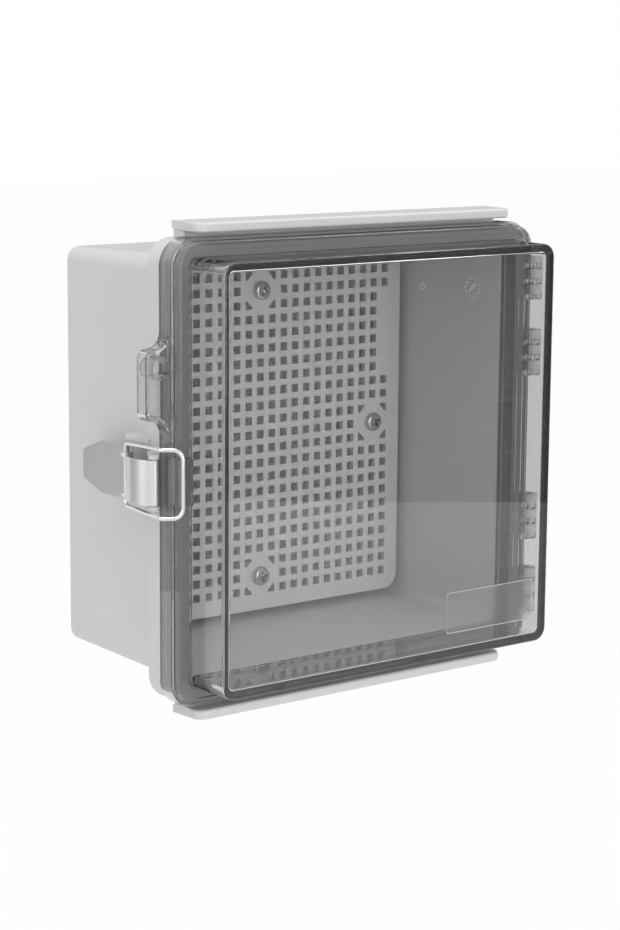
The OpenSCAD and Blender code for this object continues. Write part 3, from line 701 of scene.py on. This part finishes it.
def makeLever(shape):
    half = shape["sheet"] / 2
    crease = Vector((shape["creaseOut"], shape["creaseBack"]))
    startAngle = math.radians(shape["bowStart"])
    ahead = Vector((math.cos(startAngle), -math.sin(startAngle)))
    lap = shape["rollRadius"] - shape["rollLap"]
    across = crease.dot(ahead)
    # the bow runs through the crease and meets the roll without a kink
    bowRadius = (crease.dot(crease) + lap * lap - 2 * lap * across) / (2 * lap - 2 * across)
    bowCentre = (lap - bowRadius) * ahead
    toCrease = (crease - bowCentre).normalized()
    start = bowCentre + toCrease * (bowRadius - half)
    end = crease + Vector((shape["lean"] - half, shape["tabLong"]))
    near, far = (latchPlace(place.x, place.y, shape["tabRise"]) for place in (start, end))
    bowStart = latchPlace(start.x, start.y)

    # the tab is a plane turned to run from its end to the crease
    run = near - far
    clearPick()
    bpy.ops.mesh.primitive_plane_add(size=1, location=(near + far) / 2)
    lever = bpy.context.object
    lever.name = "latchLever"
    lever.scale = (run.length, shape["tabTall"] * mm, 1)
    lever.rotation_euler = (math.pi / 2, 0, math.atan2(run.y, run.x))
    bpy.ops.object.transform_apply(location=True, rotation=True, scale=True)
    startEdit(lever)
    bpy.ops.mesh.select_all(action="SELECT")
    bpy.ops.mesh.bisect(plane_co=far + run.normalized() * shape["taper"] * mm, plane_no=run.normalized())
    pickParts(lever, "EDGE", lambda edge: (middleOf(edge) - far).length < 1 * mm)
    bpy.ops.transform.resize(value=(1, 1, shape["tabEnd"] / shape["tabTall"]), center_override=far)

    # the front edge is drawn on, narrower, round the bow and then round the pin
    pickParts(lever, "EDGE", lambda edge: (middleOf(edge) - near).length < 1 * mm)
    extrudeBy(*(run.normalized() * shape["creaseLong"] * mm))
    bpy.ops.transform.resize(value=(1, 1, shape["bowTall"] / shape["tabTall"]), center_override=near)
    bpy.ops.transform.translate(value=(0, 0, bowStart.z - near.z))
    sweep = math.acos(max(-1.0, min(1.0, toCrease.dot(ahead))))
    bpy.ops.mesh.spin(steps=shape["bowSteps"], angle=-sweep, center=latchPlace(*bowCentre), axis=(0, 0, 1))
    bpy.ops.mesh.spin(steps=shape["rollSteps"], angle=-math.radians(shape["rollTurn"]), center=leverPivot,
                      axis=(0, 0, 1))
    bpy.ops.mesh.select_all(action="SELECT")
    bpy.ops.mesh.remove_doubles(threshold=0.01 * mm)
    bpy.ops.mesh.normals_make_consistent(inside=False)
    cornerReach = shape["tabEnd"] * 0.6 * mm    # a little more than half the tab's end
    pickParts(lever, "VERT", lambda vert: (vert.co - far).length < cornerReach
              and abs(vert.co.y - far.y) < 10 * hair)
    bpy.ops.mesh.bevel(offset=shape["tabCorner"] * mm, segments=shape["cornerSteps"], affect="VERTICES")
    endEdit()
    sheet = {"thickness": shape["sheet"] * mm, "offset": 0.0, "use_even_offset": True}
    softEdges = {"width": shape["edge"] * mm, "segments": shape["edgeSteps"], "limit_method": "ANGLE",
                 "angle_limit": math.radians(shape["edgeAngle"])}
    for kind, settings in (("SOLIDIFY", sheet), ("BEVEL", softEdges)):
        step = lever.modifiers.new(kind.lower(), kind)
        for name, value in settings.items():
            setattr(step, name, value)
        bpy.ops.object.modifier_apply(modifier=step.name)
    return lever


# eyes on the lever that the bail's bar turns in
def makeEye(up, shape):
    place = bailPivot + Vector((0, 0, up * mm))
    eye = addBar("eye", place, "z", shape["lugRadius"] * mm, shape["lugThick"] * mm)
    startEdit(eye)
    pickParts(eye, "FACE", lambda face: abs(face.normal.z) > 0.9)
    bpy.ops.mesh.inset(thickness=(shape["lugRadius"] - shape["lugBore"]) * mm, use_individual=True)
    bpy.ops.mesh.bridge_edge_loops()
    pickParts(eye, "EDGE", lambda edge: edge.calc_face_angle(0) > sharpAngle)
    roundEdges(shape["edge"] * mm, shape["edgeSteps"])
    endEdit()
    return eye


latchLever = makeLever(leverShape)
eyeUp = (leverShape["bowTall"] - leverShape["lugThick"]) / 2
eyes = [makeEye(up, leverShape) for up in (-eyeUp, eyeUp)]
onlyPick(latchLever)
for eye in eyes:
    eye.select_set(True)
bpy.ops.object.join()
smoothFaces(latchLever, leverShape["smoothAngle"])
finishPiece(latchLever, leverSteel, "latch_lever", ["latch_lever"])
print("lever modelled:", len(latchLever.data.polygons), "faces")


# round wire bent to a closed loop: bar in the eyes, arms with an elbow, bar over the catch
bailShape = {"wire": 2.0, "tall": 28.2, "flare": 0.9, "rise": 1.8, "bend": 3.0, "frontBend": 4.5,
             "bendSteps": 8, "frontCorners": (3, 4), "hook": (-2.2, -19.3), "elbow": (5.6, -13.6),
             "roundSteps": 5}


def makeBail(shape):
    up = shape["tall"] / 2
    high, low = shape["rise"] + up + shape["flare"], shape["rise"] - up - shape["flare"]
    rear = ((leverPivot.x - bailPivot.x) / mm, (bailPivot.y - leverPivot.y) / mm)
    route = [latchPlace(*place, height) for place, height in (
        (rear, -up), (rear, up), (shape["elbow"], high), (shape["hook"], high), (shape["hook"], low),
        (shape["elbow"], low))]
    clearPick()
    bpy.ops.mesh.primitive_plane_add(size=1 * mm, location=route[0])
    bail = bpy.context.object
    bail.name = "latchBail"
    bpy.ops.object.transform_apply(location=True, rotation=True, scale=True)
    startEdit(bail)
    bpy.ops.mesh.select_mode(type="VERT")
    bpy.ops.mesh.select_all(action="SELECT")
    bpy.ops.mesh.merge(type="CENTER")
    for before, place in zip(route, route[1:]):
        bpy.ops.mesh.extrude_vertices_move(TRANSFORM_OT_translate={"value": place - before})
    ends = (route[0], route[-1])
    pickParts(bail, "VERT", lambda vert: min((vert.co - end).length for end in ends) < 2 * hair)
    bpy.ops.mesh.edge_face_add()
    # each corner is cut back by what its bend's radius needs; two of them are the wide front ones
    for number, place in enumerate(route):
        there, onward = place - route[number - 1], route[(number + 1) % len(route)] - place
        bend = shape["frontBend"] if number in shape["frontCorners"] else shape["bend"]
        cut = bend * mm * math.tan(there.angle(onward) / 2)
        pickParts(bail, "VERT", lambda vert: (vert.co - place).length < 2 * hair)
        bpy.ops.mesh.bevel(offset=cut, segments=shape["bendSteps"], profile=0.5, affect="VERTICES")
    endEdit()
    onlyPick(bail)
    bpy.ops.object.convert(target="CURVE")
    bail.data.bevel_depth = shape["wire"] / 2 * mm
    bail.data.bevel_resolution = shape["roundSteps"]
    bpy.ops.object.convert(target="MESH")
    bpy.ops.object.shade_smooth()
    return bail


latchBail = makeBail(bailShape)
finishPiece(latchBail, wireSteel, "latch_bail", ["latch_bail"])
print("bail modelled:", len(latchBail.data.polygons), "faces")


# etched field for a label, low on the window's inner face, left bare; its raised border is a thin
# near-white strip just behind the field, a painted highlight
fieldShape = {"left": 33.0, "right": 87.7, "low": -84.2, "high": -64.6, "corner": 2.0, "cornerSteps": 6,
              "thick": 0.3, "behind": 0.02, "line": 0.4, "print": 0.06, "highlightGap": 0.01, "cut": 1.0}


def addFieldBlock(name, size, inset, back, front):
    block = addBlock(name, (size["left"] + inset, size["low"] + inset, back),
                     (size["right"] - inset, size["high"] - inset, front))
    startEdit(block)
    pickParts(block, "EDGE", lambda edge: abs(edge.verts[0].co.z - edge.verts[1].co.z) > hair)
    roundEdges(size["corner"] - inset, fieldShape["cornerSteps"])
    endEdit()
    return block


def makeLabelField(shape):
    size = {key: value * mm for key, value in shape.items()}
    front = windowFace - doorShape["wall"] * mm - size["behind"]
    back = front - size["thick"]
    # the border's painted highlight lies a hair behind the field
    highlightFace = back - size["highlightGap"]
    field = addFieldBlock("labelField", size, 0, back, front)
    line = addFieldBlock("fieldHighlight", size, 0, highlightFace - size["print"], highlightFace)
    middle = addFieldBlock("middle", size, size["line"], back - size["cut"], back + size["cut"])
    mergeSolid(line, middle, "DIFFERENCE")
    for piece, material, slot in ((field, fieldClear, "door_clear"), (line, paintedHighlightAbs, "body_plastic")):
        standUp(piece)
        smoothFaces(piece)
        finishPiece(piece, material, "door")


makeLabelField(fieldShape)
print("label field modelled")


# mould marks on the right inner wall: a date dial with its arrow, and a round gate mark, drawn near-white
# as a painted highlight
markShape = {"dialDepth": 72.8, "dialUp": 70.2, "dialRadius": 4.9, "figure": 2.3, "raise": 0.35,
             "arrow": (5.2, 0.9), "arrowTurn": -40, "arrowHead": 2.2, "arrowPoint": 0.8, "gateDepth": 37.0,
             "gateUp": 68.2, "gateRadius": 1.9, "gateRing": 0.35, "gateSteps": 28,
             "wallOut": 4.0, "wallDraft": 2.0}


# the right inner wall leans outwards from the back to the seam
def wallX(depth, shape):
    low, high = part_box("mounting_panel")
    return high.x + shape["wallOut"] * mm + shape["wallDraft"] * mm * (depth + high.y) / seamDepth


def makeMarks(shape):
    figures = []
    depth, up = shape["dialDepth"] * mm, shape["dialUp"] * mm
    face = wallX(depth, shape)
    for number in range(1, 13):
        angle = math.radians(90 - 30 * number)
        clearPick()
        bpy.ops.object.text_add()
        figure = bpy.context.object
        figure.data.body = str(number)
        figure.data.size = shape["figure"] * mm
        figure.data.align_x = "CENTER"
        figure.data.align_y = "CENTER"
        figure.data.extrude = shape["raise"] * mm
        bpy.ops.object.convert(target="MESH")
        # read from inside the box, so its right is towards the door
        figure.rotation_euler = (math.pi / 2, 0, -math.pi / 2)
        figure.location = (face, -depth - math.cos(angle) * shape["dialRadius"] * mm,
                           up + math.sin(angle) * shape["dialRadius"] * mm)
        bpy.ops.object.transform_apply(location=True, rotation=True, scale=True)
        figures.append(figure)
    long, wide = (value * mm / 2 for value in shape["arrow"])
    arrow = addBlock("arrow", (-shape["raise"] * mm, -long, -wide), (shape["raise"] * mm, long, wide))
    startEdit(arrow)
    pickParts(arrow, "FACE", lambda face: face.normal.y < -0.9)
    bpy.ops.transform.resize(value=(1, 1, shape["arrowHead"]), center_override=(0, 0, 0))
    extrudeBy(y=-shape["arrowPoint"] * mm)
    bpy.ops.mesh.merge(type="CENTER")
    endEdit()
    arrow.rotation_euler = (math.radians(shape["arrowTurn"]), 0, 0)
    arrow.location = (face, -depth, up)
    onlyPick(arrow)
    bpy.ops.object.transform_apply(location=True, rotation=True, scale=True)
    gateDepth = shape["gateDepth"] * mm
    gate = addBar("gate", (wallX(gateDepth, shape), -gateDepth, shape["gateUp"] * mm), "x",
                  shape["gateRadius"] * mm, 2 * shape["raise"] * mm, shape["gateSteps"])
    startEdit(gate)
    pickParts(gate, "FACE", lambda face: abs(face.normal.x) > 0.9)
    bpy.ops.mesh.inset(thickness=shape["gateRadius"] * shape["gateRing"] * mm, use_individual=True)
    bpy.ops.mesh.bridge_edge_loops()
    endEdit()
    onlyPick(gate)
    for part in figures + [arrow]:
        part.select_set(True)
    bpy.ops.object.join()
    gate.name = "mouldMarks"
    finishPiece(gate, paintedHighlightAbs, "enclosure")


makeMarks(markShape)
print("mould marks modelled")


def dress(node, material):
    mesh = frame["nodes"][node].data
    mesh.materials.clear()
    mesh.materials.append(material)


dress("door_gasket", gasketFoam)
dress("latch_pin", leverSteel)
for number in (1, 2, 3, 4):
    dress("hinge_pin_%d" % number, screwSteel)
print("frame nodes dressed")


# 1 for what the camera sees, straight, mirrored or through the clear door, and 0 for the rest
def addSeen(tree):
    path = addNode(tree, "ShaderNodeLightPath")
    seen = addNode(tree, "ShaderNodeMath", {"operation": "MAXIMUM"},
                   {0: (path, "Is Camera Ray"), 1: (path, "Is Glossy Ray")})
    return addNode(tree, "ShaderNodeMath", {"operation": "MAXIMUM"},
                   {0: (seen, 0), 1: (path, "Is Transmission Ray")})


# pale floor well below the box, which hangs on its wall
stageLook = {"floorDrop": 0.16, "floorSize": 12, "albedo": "#f0f0f0", "seenWhite": 0.97}


def makeStage(look):
    clearPick()
    level = cadBox[0][2] - look["floorDrop"]
    bpy.ops.mesh.primitive_plane_add(size=look["floorSize"], location=(0, 0, level))
    floor = bpy.context.object
    floor.name = "floor"
    material, tree = newMaterial("paleFloor")
    share = addNode(tree, "ShaderNodeMath", {"operation": "MULTIPLY", 1: look["seenWhite"]},
                    {0: (addSeen(tree), 0)})
    matte = addNode(tree, "ShaderNodeBsdfDiffuse", {"Color": hexColor(look["albedo"])})
    white = addNode(tree, "ShaderNodeEmission", {"Color": (1, 1, 1, 1), "Strength": 1.0})
    mixed = addNode(tree, "ShaderNodeMixShader", None,
                    {0: (share, 0), 1: (matte, "BSDF"), 2: (white, "Emission")})
    addNode(tree, "ShaderNodeOutputMaterial", None, {"Surface": (mixed, "Shader")})
    floor.data.materials.append(material)


makeStage(stageLook)

# grey cards outside the picture, only for the steel and the clear door to mirror
cardLooks = [
    {"name": "leftCard", "place": (-0.75, 0.55, -0.05), "turn": (90, 0, 50),
     "size": (0.7, 0.7), "albedo": "#c8c9ca"},
    {"name": "backCard", "place": (0.95, 1.1, 0.5), "turn": (90, 0, -40),
     "size": (2.4, 0.7), "albedo": "#3a3b3c"},
    {"name": "frontCard", "place": (0.6, -0.84, 0.152), "turn": (90, 0, 37),
     "size": (1.2, 0.696), "albedo": "#bababa"},
]


def makeCard(look):
    clearPick()
    bpy.ops.mesh.primitive_plane_add(size=1, location=look["place"])
    card = bpy.context.object
    card.name = look["name"]
    card.scale = (*look["size"], 1)
    card.rotation_euler = [math.radians(angle) for angle in look["turn"]]
    bpy.ops.object.transform_apply(location=True, rotation=True, scale=True)
    material, tree = newMaterial(look["name"])
    matte = addNode(tree, "ShaderNodeBsdfDiffuse", {"Color": hexColor(look["albedo"])})
    addNode(tree, "ShaderNodeOutputMaterial", None, {"Surface": (matte, "BSDF")})
    card.data.materials.append(material)
    card.visible_camera = False
    card.visible_diffuse = False
    card.visible_shadow = False


for look in cardLooks:
    makeCard(look)

# white where the camera sees it, a soft grey room to everything else
roomLook = {"strength": 0.42}


def makeRoom(look):
    world = bpy.data.worlds.new("softRoom")
    bpy.context.scene.world = world
    world.use_nodes = True
    tree = world.node_tree
    tree.nodes.clear()
    level = addNode(tree, "ShaderNodeMapRange", {"To Min": look["strength"], "To Max": 1.0},
                    {"Value": (addSeen(tree), 0)})
    glow = addNode(tree, "ShaderNodeBackground", {"Color": (1, 1, 1, 1)}, {"Strength": (level, "Result")})
    addNode(tree, "ShaderNodeOutputWorld", None, {"Surface": (glow, "Background")})


makeRoom(roomLook)

# soft boxes above, in front and on the left, and two strips that draw bright lines along the edges
lampLooks = [
    {"name": "topBox", "place": (-0.15, -0.1, 1.3), "aim": (0, -0.05, 0),
     "size": (1.2, 1.2), "watts": 10},
    {"name": "frontBox", "place": (0.1, -1.9, 0.25), "aim": (0, -0.06, 0),
     "size": (1.0, 1.0), "watts": 12.5},
    {"name": "leftBox", "place": (-1.5, 0.3, 0.3), "aim": (0, -0.04, 0),
     "size": (0.8, 0.8), "watts": 4.2},
    {"name": "leftStrip", "place": (-1.25, -0.85, 0.25), "aim": (0, -0.06, 0),
     "size": (0.1, 1.4), "watts": 1.4},
    {"name": "rightStrip", "place": (0.8, -0.25, 1.05), "aim": (0, -0.06, 0),
     "size": (1.2, 0.1), "watts": 2},
]


def makeLamp(look):
    lamp = bpy.data.lights.new(look["name"], "AREA")
    lamp.shape = "RECTANGLE"
    lamp.size, lamp.size_y = look["size"]
    lamp.energy = look["watts"]
    holder = bpy.data.objects.new(look["name"], lamp)
    bpy.context.collection.objects.link(holder)
    holder.location = look["place"]
    towards = Vector(look["aim"]) - Vector(look["place"])
    holder.rotation_euler = towards.to_track_quat("-Z", "Y").to_euler()


for look in lampLooks:
    makeLamp(look)
print("stage, room and lamps made")

# from the left, a little above, with a long lens
cameraLook = {"place": (-0.6723, -0.9274, 0.1832), "turn": 37.945, "pitch": 9.991, "roll": 0.447,
              "lens": 91.0, "sensor": 36}


def makeCamera(look):
    turn, pitch, roll = (math.radians(look[key]) for key in ("turn", "pitch", "roll"))
    ahead = Vector((math.sin(turn) * math.cos(pitch), math.cos(turn) * math.cos(pitch), -math.sin(pitch)))
    right = Vector((math.cos(turn), -math.sin(turn), 0))
    up = right.cross(ahead)
    rightRolled = right * math.cos(roll) + up * math.sin(roll)
    upRolled = up * math.cos(roll) - right * math.sin(roll)
    data = bpy.data.cameras.new("studioCamera")
    data.lens = look["lens"]
    data.sensor_width = look["sensor"]
    camera = bpy.data.objects.new("studioCamera", data)
    bpy.context.collection.objects.link(camera)
    facing = Matrix((rightRolled, upRolled, -ahead)).transposed().to_4x4()
    camera.matrix_world = Matrix.Translation(look["place"]) @ facing
    bpy.context.scene.camera = camera


makeCamera(cameraLook)
bpy.context.scene.view_settings.view_transform = "Standard"
print("camera set")
